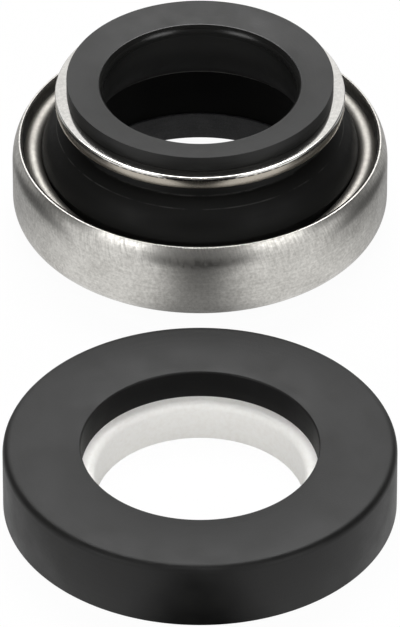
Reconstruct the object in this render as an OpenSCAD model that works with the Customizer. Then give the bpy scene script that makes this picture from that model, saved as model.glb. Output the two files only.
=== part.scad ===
// Rubber bellows mechanical seal: the rotary head and the stationary seat, side by side on the floor.
// The head stands on its carbon face with the tail up; the seat lies on its ceramic face.

/* [Layout] */
// Clear distance on the floor between the seat and the head
set_gap = 11.5; // [4:0.5:30]

/* [Shaft] */
// Diameter of the shaft that the bellows grips
shaft_d = 25; // [22.5:0.1:27.5]

/* [Seat cup] */
// Outer diameter of the rubber cup
cup_d = 49.6; // [45:0.2:56]
// Wall of the cup round the ceramic ring
cup_wall = 3.75; // [2:0.05:4.5]
// How far the opening in the cup's back is set out from the ceramic bore
cup_step = 1.75; // [1:0.05:2.5]
// Thickness of the rubber behind the ceramic ring
cup_back = 3.9; // [2.5:0.1:7]
// Rounding of the back's outer edge
cup_edge = 1.0; // [0.3:0.1:2]
// Rounding of the back's inner edge
cup_mouth_edge = 0.3; // [0.1:0.1:0.8]

/* [Ceramic ring] */
// Radial room between the shaft and the bore of the ceramic ring
ceramic_room = 0.7; // [0.3:0.05:1.2]
// Height of the ceramic ring
ceramic_h = 5.4; // [4:0.1:8]
// Rounding of the bore's inner edge, behind the face
ceramic_edge = 0.6; // [0.2:0.1:0.7]
// How far the ceramic face stands out of the cup
ceramic_proud = 0.2; // [0.1:0.1:0.6]
// Radial room between the ceramic ring and the cup
ceramic_fit = 0.05; // [0.02:0.01:0.1]

/* [Steel case] */
// Largest outer diameter of the case
case_d = 48.8; // [44:0.1:54]
// Height of the case from its floor to its rim
case_h = 11.4; // [10.6:0.1:14]
// Thickness of the pressed sheet
case_sheet = 0.4; // [0.3:0.05:0.6]
// Outside radius of the corner between floor and wall
case_corner = 3.0; // [2.6:0.1:4]
// How far the rim is drawn in from the wall
rim_draw = 0.8; // [0.4:0.05:1.0]
// Radius of the wall's inward curve below the rim
rim_curve = 6; // [4:0.5:10]

/* [Coil spring] */
// Radial room between the coils and the case wall
coil_room = 1.05; // [0.9:0.05:1.3]
// Wire diameter
wire_d = 2.4; // [2.0:0.1:2.5]
// Depth of the top coil's centre below the case rim
coil_depth = 2.0; // [1.8:0.05:2.2]
// Turns of rising wire between the flat ends
turns = 0.8; // [0.75:0.05:0.95]
// Length of each flat end, in degrees of turn
end_turn = 225; // [210:5:235]
// Length of the top end that is set down towards the next coil, in degrees of turn
tip_turn = 60; // [30:5:75]
// How far the wire's top end is set down
tip_drop = 1.1; // [0.2:0.1:1.4]
// Room between the wire and what it seats on
wire_fit = 0.06; // [0.04:0.01:0.1]

/* [Carbon ring] */
// Width of the shoulder that rests on the case floor
shoulder = 0.95; // [0.7:0.05:1.1]
// Wall of the nose that carries the sealing face
nose_wall = 1.9; // [1.6:0.1:2.2]
// Height of the carbon ring behind the case floor
carbon_back_h = 2.65; // [2.2:0.05:3.4]
// How far the sealing face stands out below the case
nose_proud = 0.8; // [0.4:0.1:1.5]
// Radial room round the nose in the case floor
nose_fit = 0.3; // [0.1:0.05:0.5]

/* [Bellows tail] */
// Wall of the tail's neck round the shaft
tail_wall = 4.6; // [4.3:0.05:4.8]
// How far the head of the tail stands out past the neck
head_step = 0.2; // [0.1:0.05:0.4]
// Height of the head above the clamp ring
head_h = 2.15; // [1.6:0.05:3]
// How far the tail's face is dished from its outer edge to the bore
face_dish = 1.0; // [0.4:0.05:1.2]
// Rounding of the bore's mouth
mouth_round = 1.2; // [0.4:0.1:1.6]
// Height of the neck from the bell to the clamp ring
neck_h = 2.25; // [1.8:0.05:3.5]
// Height of the straight part of the bore below its rounded mouth
grip_h = 2.7; // [2:0.1:3.4]
// How far the bore's flare opens at the hollow's roof, as a share of the way to the sleeve
flare_share = 0.53; // [0.4:0.005:0.6]

/* [Bellows bell] */
// How far the bell's lower edge lies inside the centre line of the top coil
bell_inset = 1.15; // [1.0:0.05:1.25]
// Radius of the bell's domed outside
bell_round = 7; // [6:0.25:12]
// Height of the bell's edge above the centre of the top coil
bell_lift = 0.73; // [0.6:0.01:0.85]
// Height of the bell from its edge to the neck
bell_h = 4.92; // [4.3:0.02:5.5]
// Depth of the hollow's roof below the neck's foot
roof_depth = 3.7; // [3:0.1:4.2]
// Depth of the bell's collar below the centre of the top coil
collar_depth = 1.5; // [1:0.1:2]
// Room between the collar and the inside of the coils
collar_fit = 0.2; // [0.1:0.05:0.4]

/* [Bellows sleeve] */
// How far the inside of the thin sleeve is set out from the carbon ring's bore
sleeve_step = 0.3; // [0.2:0.05:0.6]
// Wall of the thin sleeve
sleeve_wall = 1.3; // [1:0.1:1.5]
// Rounding where the sleeve turns into the hollow's roof
roof_round = 1.2; // [0.4:0.1:1.6]
// Thickness of the foot on the carbon ring
foot_h = 1.2; // [0.8:0.1:1.6]
// Wall of the foot's skirt round the carbon ring
skirt_wall = 0.65; // [0.4:0.05:0.7]
// Length of the foot's skirt
skirt_h = 1.0; // [0.5:0.1:1.2]
// Radial room between the skirt and the carbon ring
skirt_fit = 0.05; // [0.02:0.01:0.1]
// Radial room between the skirt and the inside of the coils
skirt_room = 0.2; // [0.1:0.05:0.4]

/* [Clamp ring] */
// How far the clamp ring stands out past the neck
ring_reach = 1.7; // [1.4:0.05:2.2]
// Depth of the tail's groove that holds the clamp ring
groove_depth = 1.65; // [1.2:0.05:1.9]
// Thickness of the ring
ring_h = 1.7; // [1.3:0.1:2.2]
// Rounding of the outer edge on the side where the punch went in
ring_roll = 0.25; // [0.1:0.05:0.35]
// Height of the smooth cut band on the outer edge
ring_land = 0.5; // [0.4:0.05:0.9]
// How far the broken band below it is drawn in
ring_draft = 0.12; // [0.05:0.01:0.2]
// Radial room between the clamp ring and the groove in the tail
ring_fit = 0.05; // [0.02:0.01:0.1]

/* [Hidden] */
$fn = 96;
// How far a cutting shape runs past the face it cuts
past = 1;

// Places of the two assemblies along the floor, with the set centred on the origin
set_length = cup_d + set_gap + case_d;
seat_y = cup_d / 2 - set_length / 2;
head_y = set_length / 2 - case_d / 2;

// Radii of the seat, from the shaft out and from the cup in
bore_r = shaft_d / 2;
cup_r = cup_d / 2;
ceramic_r = cup_r - cup_wall - ceramic_fit;
ceramic_bore_r = bore_r + ceramic_room;
opening_r = ceramic_bore_r + cup_step;

// Radii of the head from the case in: spring, skirt, carbon ring and sleeve
case_r = case_d / 2;
wire_r = wire_d / 2;
spring_r = case_r - case_sheet - coil_room - wire_r;
skirt_r = spring_r - wire_r - skirt_room;
carbon_r = skirt_r - skirt_wall - skirt_fit;
nose_r = carbon_r - shoulder;
carbon_bore_r = nose_r - nose_wall;
sleeve_r = carbon_bore_r + sleeve_step;
bell_r = spring_r - bell_inset;

// Radii of the tail from the shaft out
flare_r = bore_r + flare_share * (sleeve_r - bore_r);
neck_r = bore_r + tail_wall;
head_r = neck_r + head_step;
groove_r = neck_r - groove_depth;
ring_hole_r = groove_r + ring_fit;
ring_r = neck_r + ring_reach;

// Heights of the seat above the floor
seat_top = ceramic_h + cup_back;

// Heights of the head above the floor, from the sealing face up
case_top = nose_proud + case_h;
floor_top = nose_proud + case_sheet;
carbon_top = floor_top + carbon_back_h;
coil_top = case_top - coil_depth;
bell_edge = coil_top + bell_lift;
bell_top = bell_edge + bell_h;
ring_low = bell_top + neck_h;
ring_top = ring_low + ring_h;
head_top = ring_top + head_h;
roof = bell_top - roof_depth;
collar_low = coil_top - collar_depth;
foot_top = carbon_top + foot_h;

// Slope of the tail's dished face, the centre of the mouth's rounding and the top of the flare below the bore
dish_angle = atan2(face_dish, head_r - bore_r);
mouth_r = bore_r + mouth_round;
mouth_z = head_top - (head_r - mouth_r) * tan(dish_angle) - mouth_round / cos(dish_angle);
flare_top = mouth_z - grip_h;

// Height where the inward curve of the case wall starts
rim_start = case_top - sqrt(rim_curve * rim_curve - pow(rim_curve - rim_draw, 2));

// The bottom coil sits on the case floor, or higher where the floor's corner holds it
corner_r = case_r - case_corner;
corner_z = nose_proud + case_corner;
corner_room = case_corner - case_sheet - wire_r - wire_fit;
corner_side = max(0, spring_r - corner_r);
coil_on_corner = corner_z - sqrt(max(0, corner_room * corner_room - corner_side * corner_side));
coil_low = max(floor_top + wire_r + wire_fit, coil_on_corner);

// The wire's top end is set down as far as the coil below it leaves room
tip_room = (coil_top - coil_low) * (360 - end_turn) / (turns * 360) - wire_d - wire_fit;
tip_fall = max(0, min(tip_drop, tip_room));

// The spring's wire is drawn as a ring of points at each step round the coil
wire_sides = 12;
wire_step = 6;
wire_rings = ceil((turns * 360 + 2 * end_turn) / wire_step);

// Centre of the bell's dome, which passes through the neck's foot and the bell's edge
bell_chord = norm([bell_r - neck_r, bell_h]);
bell_sag = sqrt(bell_round * bell_round - bell_chord * bell_chord / 4);
dome_r = (neck_r + bell_r) / 2 - bell_sag * bell_h / bell_chord;
dome_z = (bell_top + bell_edge) / 2 - bell_sag * (bell_r - neck_r) / bell_chord;

// Radius of the bore's flare, which starts along the bore and ends at the hollow's roof
flare_h = flare_top - roof;
flare_out = flare_r - bore_r;
flare_round = (flare_out * flare_out + flare_h * flare_h) / (2 * flare_out);

// A section drawn as radius and height, turned into a ring at the given place along the floor
module ring_at(y) {
    translate([0, y, 0]) rotate_extrude() children();
}

// A rectangle between two radii and two heights
module band(r1, r2, z1, z2) {
    translate([r1, z1]) square([r2 - r1, z2 - z1]);
}

// What is cut off a corner to round it; side is [1, 1] for a corner at the outside and top
module round_off(corner, side, radius) {
    translate(corner) scale_to(side) difference() {
        translate([-radius, -radius]) square(radius + past);
        translate([-radius, -radius]) circle(radius);
        translate([-radius - past, -radius - past]) square([past, radius + 2 * past]);
    }
}

// Mirrors a shape towards the given side of each axis
module scale_to(side) {
    mirror([side[0] < 0 ? 1 : 0, 0]) mirror([0, side[1] < 0 ? 1 : 0]) children();
}

// Rubber cup with a pocket for the ceramic ring
module seat_cup() {
    color("#2c2c2b") ring_at(seat_y) difference() {
        band(opening_r, cup_r, ceramic_proud, seat_top);
        band(0, ceramic_r + ceramic_fit, 0, ceramic_h);
        round_off([cup_r, seat_top], [1, 1], cup_edge);
        round_off([opening_r, seat_top], [-1, 1], cup_mouth_edge);
    }
}

// Ceramic ring, face down, with a rounded inner edge behind the face
module ceramic_ring() {
    color("#f1efeb") ring_at(seat_y) difference() {
        band(ceramic_bore_r, ceramic_r, 0, ceramic_h);
        round_off([ceramic_bore_r, ceramic_h], [-1, 1], ceramic_edge);
    }
}

// Outline of the case, moved in from its outside by the given amount, up to the given height
module case_outline(inset, top) {
    intersection() {
        union() {
            band(0, case_r - inset, corner_z, rim_start);
            band(0, corner_r, nose_proud + inset, corner_z);
            translate([corner_r, corner_z]) circle(case_corner - inset);
            band(0, case_r - rim_curve, rim_start, top);
            translate([case_r - rim_curve, rim_start]) circle(rim_curve - inset);
        }
        band(0, case_r, 0, top);
    }
}

// Pressed cup, open at the top, with a hole for the carbon nose
module steel_case() {
    color("#b9b8b4") ring_at(head_y) difference() {
        case_outline(0, case_top);
        case_outline(case_sheet, case_top + past);
        band(0, nose_r + nose_fit, 0, floor_top + past);
    }
}

// Stepped carbon ring: the nose goes through the case floor, the shoulder rests on it
module carbon_ring() {
    color("#3a3a3b") ring_at(head_y) union() {
        band(carbon_bore_r, nose_r, 0, carbon_top);
        band(carbon_bore_r, carbon_r, floor_top, carbon_top);
    }
}

// Height of the wire's centre at an angle of turn from the top end: set down, flat, falling, then flat
function wire_z(turn) =
    let (tip_share = max(0, 1 - turn / tip_turn))
    let (fall_share = min(1, max(0, (turn - end_turn) / (turns * 360))))
    coil_top - tip_fall * tip_share * tip_share - (coil_top - coil_low) * fall_share;

// Point on the wire's surface, at an angle of turn from the top end and an angle round the wire
function wire_point(turn, side) =
    let (reach = spring_r + wire_r * cos(side), bearing = turn + 180 - end_turn)
    [reach * cos(bearing), reach * sin(bearing), wire_z(turn) + wire_r * sin(side)];

// Compression spring with closed ends; the wire leaves the top coil at the left and goes down at the front
module coil_spring() {
    whole_turn = turns * 360 + 2 * end_turn;
    points = [
        for (i = [0 : wire_rings], j = [0 : wire_sides - 1])
            wire_point(i * whole_turn / wire_rings, j * 360 / wire_sides)
    ];
    walls = [
        for (i = [0 : wire_rings - 1], j = [0 : wire_sides - 1])
            let (a = i * wire_sides + j, b = i * wire_sides + (j + 1) % wire_sides)
            [a, a + wire_sides, b + wire_sides, b]
    ];
    first_end = [for (j = [0 : wire_sides - 1]) j];
    last_end = [for (j = [wire_sides - 1 : -1 : 0]) wire_rings * wire_sides + j];
    color("#cfcec9") translate([0, head_y, 0]) polyhedron(points, concat(walls, [first_end, last_end]));
}

// Tail: head with a dished face and a rounded mouth, groove for the clamp ring and neck
module tail_section() {
    polygon([
        [bore_r, roof - roof_round],
        [neck_r, roof - roof_round],
        [neck_r, ring_low],
        [groove_r, ring_low],
        [groove_r, ring_top],
        [head_r, ring_top],
        [head_r, head_top],
        [mouth_r - mouth_round * sin(dish_angle), mouth_z + mouth_round * cos(dish_angle)],
        [mouth_r, mouth_z],
        [bore_r, mouth_z]
    ]);
    translate([mouth_r, mouth_z]) circle(mouth_round);
}

// Bell: a dome whose edge sits on the top coil, with a collar inside the coils
module bell_section() {
    difference() {
        intersection() {
            translate([dome_r, dome_z]) circle(bell_round);
            band(flare_r, spring_r, collar_low, bell_top);
        }
        translate([spring_r, coil_top]) circle(wire_r + wire_fit);
        band(spring_r - wire_r - collar_fit, spring_r + past, collar_low - past, coil_top);
    }
}

// Thin sleeve, and the foot that holds the carbon ring from above and round its edge
module sleeve_section() {
    difference() {
        union() {
            band(flare_r, sleeve_r + sleeve_wall, carbon_top - skirt_h, coil_top);
            band(flare_r, skirt_r, carbon_top - skirt_h, foot_top);
        }
        band(0, carbon_r + skirt_fit, 0, carbon_top);
    }
}

// Hollow below the tail, rounded where its roof meets the sleeve
module hollow() {
    band(0, sleeve_r, 0, roof - roof_round);
    band(0, sleeve_r - roof_round, 0, roof);
    translate([sleeve_r - roof_round, roof - roof_round]) circle(roof_round);
}

// What the flare takes from the tail below the straight bore
module flare_cut() {
    difference() {
        band(0, flare_r, roof - past, flare_top);
        translate([bore_r + flare_round, flare_top]) circle(flare_round);
    }
}

// One rubber moulding from the tail on the shaft to the foot on the carbon ring
module rubber_bellows() {
    color("#2a2a29") ring_at(head_y) difference() {
        union() {
            tail_section();
            bell_section();
            sleeve_section();
        }
        hollow();
        flare_cut();
    }
}

// Punched ring in the tail's groove, its outer edge rolled over, cut and then broken
module clamp_ring() {
    color("#d6d5d1") ring_at(head_y) difference() {
        polygon([
            [ring_hole_r, ring_low],
            [ring_r - ring_draft, ring_low],
            [ring_r, ring_top - ring_land],
            [ring_r, ring_top],
            [ring_hole_r, ring_top]
        ]);
        round_off([ring_r, ring_top], [1, 1], ring_roll);
    }
}

seat_cup();
ceramic_ring();
steel_case();
carbon_ring();
coil_spring();
rubber_bellows();
clamp_ring();
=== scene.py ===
import math

import bmesh
import bpy
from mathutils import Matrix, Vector


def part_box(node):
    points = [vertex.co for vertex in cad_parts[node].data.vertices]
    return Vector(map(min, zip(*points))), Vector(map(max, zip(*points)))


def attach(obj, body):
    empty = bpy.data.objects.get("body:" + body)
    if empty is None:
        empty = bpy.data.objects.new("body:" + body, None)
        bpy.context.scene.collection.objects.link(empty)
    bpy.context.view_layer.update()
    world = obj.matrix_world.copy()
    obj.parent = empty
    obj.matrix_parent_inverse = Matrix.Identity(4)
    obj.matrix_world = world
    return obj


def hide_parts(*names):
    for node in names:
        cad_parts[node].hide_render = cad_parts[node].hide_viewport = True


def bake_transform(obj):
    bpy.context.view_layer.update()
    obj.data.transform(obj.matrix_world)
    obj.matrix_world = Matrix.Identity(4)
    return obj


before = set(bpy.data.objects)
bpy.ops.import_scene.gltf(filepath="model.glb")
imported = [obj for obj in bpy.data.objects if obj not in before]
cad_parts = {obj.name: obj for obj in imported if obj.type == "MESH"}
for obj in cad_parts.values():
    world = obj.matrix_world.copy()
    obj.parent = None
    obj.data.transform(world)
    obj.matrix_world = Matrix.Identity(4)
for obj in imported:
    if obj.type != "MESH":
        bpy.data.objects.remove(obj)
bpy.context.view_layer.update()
scene = bpy.context.scene
mm = 0.001


def axisOf(node):
    low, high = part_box(node)
    return (low[1] + high[1]) / 2


headY = axisOf("steel_case")  # the shaft axis of the rotary head
seatY = axisOf("seat_cup")  # the shaft axis of the seat
print("frame loaded, head axis y %.5f, seat axis y %.5f" % (headY, seatY))


# nodes and colours

def linear(hexColour):
    parts = [int(hexColour[i:i + 2], 16) / 255 for i in (1, 3, 5)]
    return tuple(p / 12.92 if p <= 0.04045 else ((p + 0.055) / 1.055) ** 2.4 for p in parts) + (1,)


# a setting is a property or an input, and an input given a socket is linked to it
def addNode(tree, kind, settings):
    node = tree.nodes.new(kind)
    for name, value in settings.items():
        if isinstance(value, bpy.types.NodeSocket):
            tree.links.new(value, node.inputs[name])
        elif isinstance(name, int) or name in node.inputs:
            node.inputs[name].default_value = value
        else:
            setattr(node, name, value)
    return node


def calc(tree, operation, *values):
    settings = {"operation": operation}
    settings.update(enumerate(values))
    return addNode(tree, "ShaderNodeMath", settings).outputs["Value"]


def ramp(tree, value, start, end, low=0.0, high=1.0, kind="LINEAR"):
    settings = {"interpolation_type": kind, "Value": value, "From Min": start, "From Max": end,
                "To Min": low, "To Max": high}
    return addNode(tree, "ShaderNodeMapRange", settings).outputs["Result"]


def softRamp(tree, value, start, end, low=0.0, high=1.0):
    return ramp(tree, value, start, end, low, high, "SMOOTHSTEP")


def noise(tree, place, sizeMm, detail, roughness=0.5):
    settings = {"Vector": place, "Scale": 1 / sizeMm, "Detail": detail, "Roughness": roughness}
    return addNode(tree, "ShaderNodeTexNoise", settings).outputs["Fac"]


def joinPlace(tree, x=0.0, y=0.0, z=0.0):
    return addNode(tree, "ShaderNodeCombineXYZ", {"X": x, "Y": y, "Z": z}).outputs["Vector"]


def tint(tree, share, under, over):
    settings = {"data_type": "RGBA", 0: share, 6: under, 7: over}
    return addNode(tree, "ShaderNodeMix", settings).outputs[2]


def mixValue(tree, share, under, over):
    settings = {"data_type": "FLOAT", 0: share, 2: under, 3: over}
    return addNode(tree, "ShaderNodeMix", settings).outputs[0]


def shadeRamp(tree, value, finish, start=0.0, end=1.0):
    node = addNode(tree, "ShaderNodeValToRGB", {"Fac": value})
    for element, shade, position in zip(node.color_ramp.elements, ("dark", "pale"), (start, end)):
        element.position = position
        element.color = linear(finish[shade])
    return node.outputs["Color"]


def relief(tree, height, strength, depthMm):
    settings = {"Strength": strength, "Distance": depthMm * mm, "Height": height}
    return addNode(tree, "ShaderNodeBump", settings).outputs["Normal"]


def newMaterial(name):
    material = bpy.data.materials.new(name)
    material.use_nodes = True
    tree = material.node_tree
    tree.nodes.clear()
    return material, tree


def finishMaterial(tree, settings):
    shader = addNode(tree, "ShaderNodeBsdfPrincipled", settings)
    addNode(tree, "ShaderNodeOutputMaterial", {"Surface": shader.outputs["BSDF"]})


# radius, bearing and height about a shaft axis, in mm, for patterns that run round a ring; a piece that is
# squeezed carries its places at rest, so that the pattern moves with it
def ringPlace(tree, axisY, squeezed=False):
    if squeezed:
        place = addNode(tree, "ShaderNodeAttribute", {"attribute_name": "restPlace"}).outputs["Vector"]
    else:
        place = addNode(tree, "ShaderNodeTexCoord", {}).outputs["Object"]
    settings = {"Vector": place, "Location": (0, -axisY / mm, 0), "Scale": (1 / mm, 1 / mm, 1 / mm)}
    centred = addNode(tree, "ShaderNodeMapping", settings).outputs["Vector"]
    parts = addNode(tree, "ShaderNodeSeparateXYZ", {"Vector": centred}).outputs
    flat = joinPlace(tree, parts["X"], parts["Y"])
    radius = addNode(tree, "ShaderNodeVectorMath", {"operation": "LENGTH", 0: flat}).outputs["Value"]
    bearing = calc(tree, "ARCTAN2", parts["Y"], parts["X"])
    return centred, radius, bearing, parts["Z"]


# materials

rubberFinish = {
    "bellows": {
        "clean": "#131312", "dark": "#131312", "pale": "#1f1f1e", "paintedLift": "#2b2b2a", "wall": "#242423",
        "paintedEdgeHighlight": "#8a8a86", "line": "#444442", "rough": (0.42, 0.58), "mouthRough": 0.24,
        "sheen": (0.1, 0.19, 0.41), "dullBelow": 11.5, "scuffedAbove": 16.0, "paintedLiftZ": (13.4, 10.8),
        "hollow": (17.4, 12.3), "lip": (15.6, 12.4), "lipHalf": 0.25, "wallHalf": 4.1, "mouth": (13.2, 19.5),
        "bell": (15.1, 0.9), "moulding": ((18.65, 0.05), (17.22, 0.07)), "grainMm": 0.18, "patchMm": 4.0,
    },
    "seat": {
        "clean": "#0e0e0e", "dark": "#0f0f0f", "pale": "#1a1a19", "rough": (0.42, 0.56),
        "sheen": (0.2, 0.2, 0.31), "dullBelow": 0.0, "scuffedAbove": -3.0, "hollow": (15.2, 9.05),
        "grainMm": 0.22, "patchMm": 5.0,
    },
}
rubberRingMm = 1 / 2.2  # spacing of the rings that the turned mould leaves


# the bellows alone: painted light low on the bell, where shade falls; a bore wall painted paler than the
# shaded hollow, a painted highlight where it ends, and faint broken painted highlights round the bell
def markBellows(tree, finish, skin, bloom, radius, height, outer, touched):
    # painted light: the rubber low on the bell, where shade falls towards the case, is painted paler
    low = softRamp(tree, height, *finish["paintedLiftZ"])
    paintedLiftShare = calc(tree, "MULTIPLY", low, outer)
    untouched = tint(tree, paintedLiftShare, linear(finish["clean"]), linear(finish["paintedLift"]))
    base = tint(tree, touched, untouched, skin)
    lipR, lipZ = finish["lip"]
    within = calc(tree, "LESS_THAN", radius, lipR)
    # painted light: the bore wall above the hollow is painted paler than the shaded hollow
    wallSpan = calc(tree, "COMPARE", height, lipZ + finish["wallHalf"], finish["wallHalf"])
    base = tint(tree, calc(tree, "MULTIPLY", within, wallSpan), base, linear(finish["wall"]))
    # painted highlight: a pale band along the lower edge of the bore wall
    lipSpan = calc(tree, "COMPARE", height, lipZ, finish["lipHalf"])
    base = tint(tree, calc(tree, "MULTIPLY", within, lipSpan), base, linear(finish["paintedEdgeHighlight"]))
    # painted highlights: faint broken pale lines round the bell, thinned out by the bloom
    onBell = calc(tree, "COMPARE", height, *finish["bell"])
    left = ramp(tree, bloom, 0.44, 0.6, 0.0, 0.6)
    for lineR, lineHalf in finish["moulding"]:
        line = calc(tree, "MULTIPLY", calc(tree, "COMPARE", radius, lineR, lineHalf), onBell)
        base = tint(tree, calc(tree, "MULTIPLY", line, left), base, linear(finish["line"]))
    return base


# nitrile rubber, moulded: deep black where nothing has touched it, with a grey bloom where it was handled,
# a fine grain and faint rings from the turned mould
def mouldedRubber(name, finish, axisY, squeezed=False):
    material, tree = newMaterial(name)
    place, radius, bearing, height = ringPlace(tree, axisY, squeezed)
    bloom = noise(tree, place, finish["patchMm"], 6, 0.65)
    grain = noise(tree, place, finish["grainMm"], 3)
    skin = shadeRamp(tree, bloom, finish, 0.3, 0.72)
    scuffed = softRamp(tree, height, finish["scuffedAbove"], finish["scuffedAbove"] + 2.5)
    hollowR, hollowZ = finish["hollow"]
    outer = calc(tree, "GREATER_THAN", radius, hollowR)
    upper = calc(tree, "GREATER_THAN", height, hollowZ)
    touched = calc(tree, "MULTIPLY", scuffed, calc(tree, "MAXIMUM", outer, upper))
    rough = ramp(tree, bloom, 0.3, 0.7, *finish["rough"])
    if squeezed:
        base = markBellows(tree, finish, skin, bloom, radius, height, outer, touched)
        # rubbed smooth round the mouth of the bore
        mouthR, mouthZ = finish["mouth"]
        within = calc(tree, "LESS_THAN", radius, mouthR)
        rubbed = calc(tree, "MULTIPLY", within, softRamp(tree, height, mouthZ - 1, mouthZ + 0.6))
        rough = mixValue(tree, rubbed, rough, finish["mouthRough"])
    else:
        base = tint(tree, touched, linear(finish["clean"]), skin)
    sheenLow, sheenHigh, sheenHandled = finish["sheen"]
    shine = softRamp(tree, height, finish["dullBelow"], finish["dullBelow"] + 3, sheenLow, sheenHigh)
    sheen = mixValue(tree, touched, shine, sheenHandled)
    rings = noise(tree, joinPlace(tree, radius, height), rubberRingMm, 2)
    surface = calc(tree, "MULTIPLY_ADD", rings, 1.1, grain)
    finishMaterial(tree, {"IOR": 1.5, "Base Color": base, "Roughness": rough, "Specular IOR Level": sheen,
                          "Normal": relief(tree, surface, 0.4, 0.03)})
    return material


steelFinish = {
    "case": {"dark": "#b8b6b1", "pale": "#e0ded9", "rough": (0.28, 0.44), "lineMm": 0.22, "spotMm": 0.4,
             "bump": 0.14},
    "ring": {"dark": "#cfcdc9", "pale": "#e6e4e0", "rough": (0.08, 0.15), "lineMm": 0.2, "spotMm": 0.5,
             "bump": 0.1},
    "wire": {"dark": "#989590", "pale": "#b0ada7", "rough": (0.44, 0.5), "lineMm": 0.12, "spotMm": 0.7,
             "bump": 0.01},
    # near-black: painted shade on the case rim's cut face, and the ring's broken line of pits
    "paintedRimShadeAndPits": "#242220",
    "patchMm": 5.0,
}
# scratches that run up to the case's rim, painted shade on the cut face along its top, and its dull inside
caseMarks = {"scratched": 0.9, "scratchZ": (6.0, 11.0), "around": 90.0, "upward": 0.5, "insideDull": 0.9,
             "cutR": 23.275, "cutHalf": 0.115, "cutAbove": 12.12}
# the torn band below the ring's punched edge, with a broken dark line where the cut gives way
ringMarks = {"tornBelow": 19.36, "shade": "#b9b2a6", "rough": 0.08, "edgeHalf": 0.08, "pitMm": 0.625,
             "edgeR": 18.8}


# stainless steel, drawn, punched and tumbled: a satin grey with soft mottling and fine lines round the axis
def satinSteel(name, kind, squeezed=False):
    finish = steelFinish[kind]
    material, tree = newMaterial(name)
    place, radius, bearing, height = ringPlace(tree, headY, squeezed)
    spots = noise(tree, place, finish["spotMm"], 6, 0.65)
    patches = noise(tree, place, steelFinish["patchMm"], 4)
    turned = joinPlace(tree, calc(tree, "MULTIPLY", bearing, 1.5), radius, height)
    lines = noise(tree, turned, finish["lineMm"], 3)
    mottle = calc(tree, "MULTIPLY_ADD", lines, 0.35, spots)
    if kind == "case":
        around = calc(tree, "MULTIPLY_ADD", bearing, caseMarks["around"], height)
        upward = calc(tree, "MULTIPLY", height, caseMarks["upward"])
        scratches = noise(tree, joinPlace(tree, around, 0.0, upward), 1.0, 3)
        nearRim = ramp(tree, height, *caseMarks["scratchZ"], 0.0, caseMarks["scratched"])
        mottle = calc(tree, "MULTIPLY_ADD", calc(tree, "SUBTRACT", scratches, 0.5), nearRim, mottle)
    blend = calc(tree, "MULTIPLY_ADD", patches, 0.5, mottle)
    base = shadeRamp(tree, ramp(tree, blend, 0.7, 1.15), finish)
    smoothest, roughest = finish["rough"]
    rough = ramp(tree, blend, 0.7, 1.15, roughest, smoothest)
    metal = 1.0
    if kind == "case":
        # painted shade: the flat cut face on the rim's top is painted near-black
        cutBand = calc(tree, "COMPARE", radius, caseMarks["cutR"], caseMarks["cutHalf"])
        cutTop = calc(tree, "GREATER_THAN", height, caseMarks["cutAbove"])
        base = tint(tree, calc(tree, "MULTIPLY", cutBand, cutTop), base, linear(steelFinish["paintedRimShadeAndPits"]))
        # the inside is the side whose normal points to the axis
        normal = addNode(tree, "ShaderNodeTexCoord", {}).outputs["Normal"]
        facing = addNode(tree, "ShaderNodeVectorMath", {"operation": "DOT_PRODUCT", 0: normal, 1: place})
        inside = calc(tree, "LESS_THAN", facing.outputs["Value"], 0.0)
        metal = calc(tree, "MULTIPLY_ADD", inside, -caseMarks["insideDull"], 1.0)
    if kind == "ring":
        torn = calc(tree, "LESS_THAN", height, ringMarks["tornBelow"])
        rough = calc(tree, "MULTIPLY_ADD", torn, ringMarks["rough"], rough)
        base = tint(tree, torn, base, linear(ringMarks["shade"]))
        edge = calc(tree, "COMPARE", height, ringMarks["tornBelow"], ringMarks["edgeHalf"])
        along = joinPlace(tree, calc(tree, "MULTIPLY", bearing, ringMarks["edgeR"]))
        pits = ramp(tree, noise(tree, along, ringMarks["pitMm"], 2), 0.4, 0.5)
        base = tint(tree, calc(tree, "MULTIPLY", edge, pits), base, linear(steelFinish["paintedRimShadeAndPits"]))
    finishMaterial(tree, {"Metallic": metal, "Base Color": base, "Roughness": rough,
                          "Normal": relief(tree, blend, finish["bump"], 0.02)})
    return material


carbonFinish = {"dark": "#121214", "pale": "#474749", "grainMm": 0.12, "cloudMm": 2.5, "streakMm": 0.625,
                "rough": (0.3, 0.45)}


# carbon graphite, pressed and lapped: charcoal with a fine bright grain, turned streaks and a dull sheen
def lappedCarbon(name, finish, axisY):
    material, tree = newMaterial(name)
    place, radius, bearing, height = ringPlace(tree, axisY)
    settings = {"Vector": place, "Scale": 1 / finish["grainMm"]}
    grain = addNode(tree, "ShaderNodeTexVoronoi", settings).outputs["Distance"]
    cloud = noise(tree, place, finish["cloudMm"], 4)
    turned = joinPlace(tree, calc(tree, "MULTIPLY", bearing, 4.0), radius, height)
    streaks = calc(tree, "MULTIPLY", noise(tree, turned, finish["streakMm"], 3), cloud)
    shade = ramp(tree, calc(tree, "MULTIPLY_ADD", streaks, 2.0, grain), 0.6, 1.4)
    finishMaterial(tree, {"IOR": 1.8, "Base Color": shadeRamp(tree, shade, finish),
                          "Roughness": ramp(tree, shade, 0.0, 1.0, *finish["rough"]),
                          "Normal": relief(tree, grain, 0.12, 0.02)})
    return material


aluminaFinish = {"dark": "#f6f4f0", "pale": "#fbfaf7", "spotMm": 0.5, "lineMm": 0.2, "rough": (0.42, 0.5)}


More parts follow.
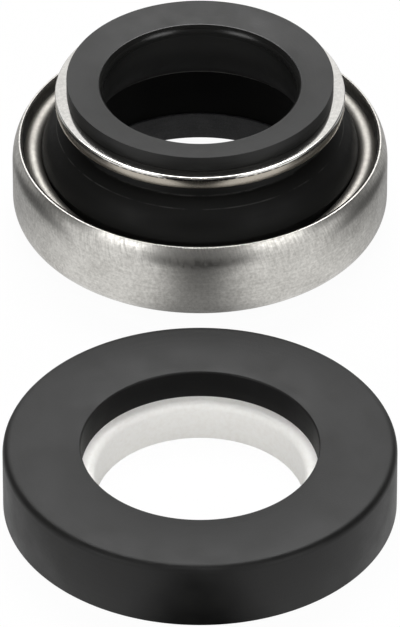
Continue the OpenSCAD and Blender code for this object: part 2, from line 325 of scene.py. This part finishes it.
# alumina, sintered and ground: warm white, faintly mottled, with fine grinding lines round the bore
def groundAlumina(name, finish, axisY):
    material, tree = newMaterial(name)
    place, radius, bearing, height = ringPlace(tree, axisY)
    spots = noise(tree, place, finish["spotMm"], 5)
    turned = joinPlace(tree, calc(tree, "MULTIPLY", bearing, 1.2), radius, height)
    lines = noise(tree, turned, finish["lineMm"], 2)
    finishMaterial(tree, {"IOR": 1.77, "Base Color": shadeRamp(tree, spots, finish, 0.3, 0.6),
                          "Roughness": ramp(tree, lines, 0.3, 0.7, *finish["rough"]),
                          "Normal": relief(tree, lines, 0.015, 0.02)})
    return material


bellowsRubber = mouldedRubber("mouldedNitrileBellows", rubberFinish["bellows"], headY, squeezed=True)
seatRubber = mouldedRubber("mouldedNitrileSeat", rubberFinish["seat"], seatY)
caseSteel = satinSteel("tumbledStainlessSheet", "case")
ringSteel = satinSteel("punchedStainlessPlate", "ring")
wireSteel = satinSteel("drawnStainlessWire", "wire", squeezed=True)
carbonGraphite = lappedCarbon("lappedCarbonGraphite", carbonFinish, headY)
alumina = groundAlumina("groundAlumina", aluminaFinish, seatY)
print("materials made")


# modelling helpers

cornerReach = 0.004 * mm  # how near a point lies to count as a corner
outlineWeld = 0.002 * mm
surfaceWeld = 0.001 * mm


def pickNothing():
    if bpy.context.mode != "OBJECT":
        bpy.ops.object.mode_set(mode="OBJECT")
    bpy.ops.object.select_all(action="DESELECT")


def arcPoints(centre, radius, start, end, count):
    points = []
    for i in range(count + 1):
        turn = math.radians(start + (end - start) * i / count)
        points.append((centre[0] + radius * math.cos(turn), centre[1] + radius * math.sin(turn)))
    return points


# applies a new primitive's place, names it and opens it with all its points picked
def openPiece(name):
    piece = bpy.context.object
    piece.name = name
    piece.data.name = name
    bpy.ops.object.transform_apply(location=True, rotation=True, scale=True)
    bpy.ops.object.mode_set(mode="EDIT")
    bpy.ops.mesh.select_mode(type="VERT")
    bpy.ops.mesh.select_all(action="SELECT")
    return piece


# joins the seams, turns the faces outwards and smooths all but the sharp edges
def closePiece(crease):
    bpy.ops.mesh.select_all(action="SELECT")
    bpy.ops.mesh.remove_doubles(threshold=surfaceWeld)
    bpy.ops.mesh.normals_make_consistent(inside=False)
    bpy.ops.object.mode_set(mode="OBJECT")
    bpy.ops.object.shade_smooth_by_angle(angle=math.radians(crease))


# picks one corner of the section and rounds it
def roundCorner(piece, corner, axisY):
    mesh = bmesh.from_edit_mesh(piece.data)
    place = Vector((corner[0] * mm, axisY, corner[1] * mm))
    for vertex in mesh.verts:
        vertex.select = (vertex.co - place).length < cornerReach
    mesh.select_flush_mode()
    bmesh.update_edit_mesh(piece.data)
    bpy.ops.mesh.bevel(offset=corner[2] * mm, offset_type="OFFSET", segments=max(3, round(corner[2] * 6)),
                       affect="VERTICES")


# draws a section point by point beside the axis, rounds its corners and spins it into a ring; a point is
# radius, height and, for a corner, its round, in mm
def turnRing(name, outline, axisY, steps=256, crease=30):
    pickNothing()
    start = (outline[0][0] * mm, axisY, outline[0][1] * mm)
    bpy.ops.mesh.primitive_plane_add(size=mm, location=start)
    piece = openPiece(name)
    bpy.ops.mesh.merge(type="CENTER")
    for before, after in zip(outline, outline[1:] + outline[:1]):
        step = ((after[0] - before[0]) * mm, 0, (after[1] - before[1]) * mm)
        bpy.ops.mesh.extrude_region_move(TRANSFORM_OT_translate={"value": step})
    bpy.ops.mesh.select_all(action="SELECT")
    bpy.ops.mesh.remove_doubles(threshold=outlineWeld)
    for corner in outline:
        if len(corner) > 2:
            roundCorner(piece, corner, axisY)
    bpy.ops.mesh.select_all(action="SELECT")
    bpy.ops.mesh.spin(steps=steps, angle=2 * math.pi, center=(0, axisY, 0), axis=(0, 0, 1))
    closePiece(crease)
    return piece


def dress(piece, material, node):
    piece.data.materials.clear()
    piece.data.materials.append(material)
    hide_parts(node)
    print("made", piece.name, len(piece.data.polygons), "faces")


def markRest(piece):
    places = piece.data.attributes.new("restPlace", "FLOAT_VECTOR", "POINT")
    for vertex, entry in zip(piece.data.vertices, places.data):
        entry.vector = vertex.co


# stationary seat

seatCup = {
    "outline": [
        (14.95, 5.4), (14.95, 9.3, 0.3), (24.8, 9.3, 1.0), (24.8, 0.2, 0.15), (21.05, 0.2), (21.05, 5.4),
    ],
}
cup = turnRing("seatCup", seatCup["outline"], seatY)
dress(cup, seatRubber, "seat_cup")
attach(cup, "set")

seatRing = {
    "outline": [
        (13.2, 0, 0.12), (21.0, 0, 0.12), (21.0, 5.4, 0.1), (13.8, 5.4, 0.38), (13.2, 4.8, 0.38),
    ],
}
whiteRing = turnRing("ceramicRing", seatRing["outline"], seatY)
dress(whiteRing, alumina, "ceramic_ring")
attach(whiteRing, "set")

# rotary head

caseShell = {
    "outline": (
        [(19.0, 0.8, 0.1), (24.4, 0.8, 3.0)]
        + arcPoints((18.4, 9.207), 6.0, 0, 29.0, 10)
        + [(23.6, 12.2, 0.07), (23.133, 12.2, 0.06)]
        + arcPoints((18.4, 9.207), 5.6, 31.0, 0, 10)
        + [(24.0, 1.2, 2.6), (19.0, 1.2, 0.1)]
    ),
    "steps": 288,
}
case = turnRing("steelCase", caseShell["outline"], headY, caseShell["steps"])
dress(case, caseSteel, "steel_case")
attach(case, "set")

faceRing = {
    "outline": [
        (16.8, 0, 0.12), (18.7, 0, 0.12), (18.7, 1.2), (19.65, 1.2), (19.65, 3.85, 0.15), (16.8, 3.85, 0.1),
    ],
}
carbon = turnRing("carbonRing", faceRing["outline"], headY)
dress(carbon, carbonGraphite, "carbon_ring")
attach(carbon, "set")

# from the mouth down the bore, round the hollow and the foot, and up the sleeve, the bell and the tail
bellows = {
    "outline": (
        arcPoints((14.1, 19.82), 1.6, 128, 180, 10) + [(12.5, 17.27)]
        + arcPoints((19.094, 17.27), 6.594, 183, 230, 14)
        + [(14.938, 12.15, 0.2), (17.1, 12.15, 1.2), (17.1, 3.85), (19.7, 3.85), (19.7, 2.85, 0.1)]
        + [(20.35, 2.85, 0.15), (20.35, 5.05, 0.3), (18.4, 5.05, 0.3), (18.4, 8.7, 0.3), (20.35, 8.7, 0.2)]
        + [(20.35, 10.2)]
        + arcPoints((21.75, 10.2), 1.26, 180, 153.5, 6)
        + arcPoints((13.704, 9.729), 7.0, 8.6, 59.6, 18)
        + [(17.1, 15.85, 0.15), (17.1, 18.1, 0.1), (15.45, 18.1), (15.45, 19.8), (17.3, 19.8, 0.1)]
        + [(17.3, 21.95, 0.08)]
    ),
    "crease": 18,
    "stillBelow": 5.05,
    "movesAbove": 8.7,
}
rubber = turnRing("rubberBellows", bellows["outline"], headY, crease=bellows["crease"])
dress(rubber, bellowsRubber, "rubber_bellows")
markRest(rubber)
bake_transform(rubber)

clampRing = {
    "outline": [
        (15.5, 18.1), (15.5, 19.8), (18.8, 19.8, 0.18), (18.8, 19.3), (18.76, 18.1, 0.06),
    ],
}
clamp = turnRing("clampRing", clampRing["outline"], headY)
dress(clamp, ringSteel, "clamp_ring")
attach(clamp, "tail")

coil = {
    "wireR": 1.2,
    "coilR": 21.75,
    "topZ": 10.2,
    "lowZ": 2.507,
    "tipTurn": 60,
    "tipDrop": 1.1,
    "flatTurn": 225,
    "fallTurn": 288,
    "startBearing": -45,
    "stepTurn": 2,
    "sides": 24,
    "crease": 40,
    "stillBelow": 3.7,
    "movesAbove": 9.0,
}


# height of the wire's centre in mm: its end is set down, then it runs flat, falls and runs flat again
def wireHeight(spec, turn):
    tipShare = max(0, 1 - turn / spec["tipTurn"])
    fallShare = min(1, max(0, (turn - spec["flatTurn"]) / spec["fallTurn"]))
    return spec["topZ"] - spec["tipDrop"] * tipShare ** 2 - (spec["topZ"] - spec["lowZ"]) * fallShare


# a disc of the wire's section is drawn out step by step round the axis, rising and falling with the wire
def windCoil(name, spec):
    pickNothing()
    start = (spec["coilR"] * mm, headY, wireHeight(spec, 0) * mm)
    bpy.ops.mesh.primitive_circle_add(vertices=spec["sides"], radius=spec["wireR"] * mm, fill_type="NGON",
                                      location=start, rotation=(math.radians(90), 0, 0))
    piece = openPiece(name)
    centre = (0, headY, 0)
    firstTurn = -math.radians(spec["startBearing"])
    bpy.ops.transform.rotate(value=firstTurn, orient_axis="Z", center_override=centre)
    whole = 2 * spec["flatTurn"] + spec["fallTurn"]
    stepTurn = -math.radians(spec["stepTurn"])
    for turn in range(0, whole, spec["stepTurn"]):
        drop = (0, 0, (wireHeight(spec, turn + spec["stepTurn"]) - wireHeight(spec, turn)) * mm)
        bpy.ops.mesh.extrude_region_move(TRANSFORM_OT_translate={"value": drop})
        bpy.ops.transform.rotate(value=stepTurn, orient_axis="Z", center_override=centre)
    closePiece(spec["crease"])
    return piece


spring = windCoil("coilSpring", coil)
dress(spring, wireSteel, "coil_spring")
markRest(spring)
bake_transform(spring)


# floor, room, lamps and camera

white = (1, 1, 1, 1)
# what reflections see of the board, all painted: paler in front than behind, a painted dark strip along the
# middle, painted shade beside the head past its own reflection and painted shadow in the two rings; lengths
# in mm
floorLook = {
    "sizeM": 8.0, "colour": "#f4f4f4", "cameraWhite": 0.96,
    "mirrorNear": 0.92, "mirrorFar": 0.5, "fade": (-22, 2),
    "paintedStripHalf": 7.0, "paintedStripSoft": 5.0, "paintedStripDark": 0.02, "paintedStripGrey": 0.26,
    "shades": ((headY, 17.5), (seatY, 13.5)), "shadeSoft": 1.5, "shadeLevel": 0.3,
    "sideReach": (32, 38), "sideBegins": (-24, -16), "sideEnds": (18, 10), "sideLevel": 0.12,
}


# the board's brightness as reflections see it: painted light and shade, not the lit board
def floorMirror(tree, spec):
    place = addNode(tree, "ShaderNodeTexCoord", {}).outputs["Object"]
    parts = addNode(tree, "ShaderNodeSeparateXYZ", {"Vector": place}).outputs

    def fromHead(key):
        return [headY + distance * mm for distance in spec[key]]

    def gapTo(axisY):
        settings = {"operation": "DISTANCE", 0: place, 1: (0, axisY, 0)}
        return addNode(tree, "ShaderNodeVectorMath", settings).outputs["Value"]

    fade = softRamp(tree, parts["Y"], *fromHead("fade"), spec["mirrorNear"], spec["mirrorFar"])
    # painted shade: a dark strip along the middle, greyer between the seat and the head
    half, soft = spec["paintedStripHalf"] * mm, spec["paintedStripSoft"] * mm
    strip = softRamp(tree, calc(tree, "ABSOLUTE", parts["X"]), half + soft, half - soft)
    paintedStrip = calc(tree, "MULTIPLY", strip, calc(tree, "LESS_THAN", parts["Y"], headY))
    pastSeat = calc(tree, "GREATER_THAN", parts["Y"], seatY)
    level = mixValue(tree, paintedStrip, fade, ramp(tree, pastSeat, 0.0, 1.0, spec["paintedStripDark"], spec["paintedStripGrey"]))
    # painted shadow inside the two rings
    for axisY, reach in spec["shades"]:
        openness = ramp(tree, gapTo(axisY), reach * mm, (reach + spec["shadeSoft"]) * mm, spec["shadeLevel"])
        level = calc(tree, "MULTIPLY", level, openness)
    # painted shade beside the head, past its own reflection
    begins = softRamp(tree, parts["Y"], *fromHead("sideBegins"))
    ends = softRamp(tree, parts["Y"], *fromHead("sideEnds"))
    beside = softRamp(tree, gapTo(headY), *[reach * mm for reach in spec["sideReach"]])
    paintedSideShade = calc(tree, "MULTIPLY", calc(tree, "MULTIPLY", begins, ends), beside)
    return calc(tree, "MULTIPLY", level, ramp(tree, paintedSideShade, 0.0, 1.0, 1.0, spec["sideLevel"]))


# white board that keeps a faint shadow
def layFloor(spec):
    pickNothing()
    bpy.ops.mesh.primitive_plane_add(size=spec["sizeM"], location=(0, 0, 0))
    floor = bpy.context.object
    floor.name = "floor"
    material, tree = newMaterial("paintedBoard")
    path = addNode(tree, "ShaderNodeLightPath", {}).outputs
    board = addNode(tree, "ShaderNodeBsdfDiffuse", {"Color": linear(spec["colour"])}).outputs["BSDF"]
    plain = addNode(tree, "ShaderNodeEmission", {"Color": white, "Strength": 1.0}).outputs["Emission"]
    seen = calc(tree, "MULTIPLY", path["Is Camera Ray"], spec["cameraWhite"])
    lit = addNode(tree, "ShaderNodeMixShader", {0: seen, 1: board, 2: plain}).outputs["Shader"]
    # reflections see this glow of painted light and shade instead of the lit board
    settings = {"Color": white, "Strength": floorMirror(tree, spec)}
    glow = addNode(tree, "ShaderNodeEmission", settings).outputs["Emission"]
    laid = addNode(tree, "ShaderNodeMixShader", {0: path["Is Glossy Ray"], 1: lit, 2: glow}).outputs["Shader"]
    addNode(tree, "ShaderNodeOutputMaterial", {"Surface": laid})
    floor.data.materials.append(material)


room = {"dim": 0.06, "board": 1.0, "boardSides": (0.65, 0.35), "boardBehind": (0.1, 0.5)}


# a dim room with a white board behind the object; the camera sees plain white
def lightRoom(spec):
    world = bpy.data.worlds.new("studioRoom")
    scene.world = world
    world.use_nodes = True
    tree = world.node_tree
    tree.nodes.clear()
    path = addNode(tree, "ShaderNodeLightPath", {}).outputs
    place = addNode(tree, "ShaderNodeTexCoord", {}).outputs["Generated"]
    parts = addNode(tree, "ShaderNodeSeparateXYZ", {"Vector": place}).outputs
    across = softRamp(tree, calc(tree, "ABSOLUTE", parts["X"]), *spec["boardSides"])
    behind = softRamp(tree, parts["Y"], *spec["boardBehind"])
    board = calc(tree, "MULTIPLY", across, behind)
    level = ramp(tree, board, 0.0, 1.0, spec["dim"], spec["board"])
    strength = calc(tree, "MAXIMUM", level, path["Is Camera Ray"])
    glow = addNode(tree, "ShaderNodeBackground", {"Color": white, "Strength": strength})
    addNode(tree, "ShaderNodeOutputWorld", {"Surface": glow.outputs["Background"]})


# the front box only fills the shadows, so reflections don't show it
lamps = {
    "leftBox": {"kind": "AREA", "place": (-0.44, -0.42, 0.19), "aim": (0, 0, 0.005), "size": (0.3, 0.3),
                "watts": 0.9, "mirrored": True},
    "rightBox": {"kind": "AREA", "place": (0.44, -0.42, 0.19), "aim": (0, 0, 0.005), "size": (0.3, 0.3),
                 "watts": 0.9, "mirrored": True},
    "topBox": {"kind": "AREA", "place": (0.0, 0.31, 0.55), "aim": (0, 0, 0.005), "size": (0.46, 0.24),
               "watts": 2.4, "mirrored": True},
    "frontBox": {"kind": "AREA", "place": (0.0, -0.22, 0.62), "aim": (0, 0, 0.005), "size": (0.3, 0.2),
                 "watts": 1.0, "mirrored": False},
    "snoot": {"kind": "SPOT", "place": (0.0, -0.38, 0.4), "aim": (0, -0.022, 0.003), "cone": 5.8, "soft": 0.6,
              "bulb": 0.03, "watts": 2.7, "mirrored": True},
    "topSnoot": {"kind": "SPOT", "place": (0.0, seatY, 0.6), "aim": (0, seatY, 0), "cone": 3.2, "soft": 0.15,
                 "bulb": 0.03, "watts": 3.1, "mirrored": True},
}


def hangLamp(name, spec):
    pickNothing()
    place = Vector(spec["place"])
    turn = (Vector(spec["aim"]) - place).to_track_quat("-Z", "Y").to_euler()
    bpy.ops.object.light_add(type=spec["kind"], location=place, rotation=turn)
    lamp = bpy.context.object
    lamp.name = name
    if spec["kind"] == "AREA":
        lamp.data.shape = "RECTANGLE"
        lamp.data.size, lamp.data.size_y = spec["size"]
    else:
        lamp.data.spot_size = math.radians(spec["cone"])
        lamp.data.spot_blend = spec["soft"]
        lamp.data.shadow_soft_size = spec["bulb"]
    lamp.data.energy = spec["watts"]
    lamp.visible_camera = False
    lamp.visible_glossy = spec["mirrored"]


shot = {"place": (0, -1.05147, 0.80993), "down": 37.367, "focalPixels": 10343, "imageHeight": 627,
        "sensorMm": 36, "nearM": 0.01}


def placeCamera(spec):
    pickNothing()
    bpy.ops.object.camera_add(location=spec["place"], rotation=(math.radians(90 - spec["down"]), 0, 0))
    camera = bpy.context.object
    camera.name = "photoCamera"
    camera.data.sensor_fit = "VERTICAL"
    camera.data.sensor_height = spec["sensorMm"]
    camera.data.lens = spec["focalPixels"] * spec["sensorMm"] / spec["imageHeight"]
    camera.data.clip_start = spec["nearM"]
    scene.camera = camera


layFloor(floorLook)
lightRoom(room)
for lampName, lampSpec in lamps.items():
    hangLamp(lampName, lampSpec)
placeCamera(shot)
scene.view_settings.view_transform = "Standard"
print("floor, room, lamps and camera set")

pickNothing()
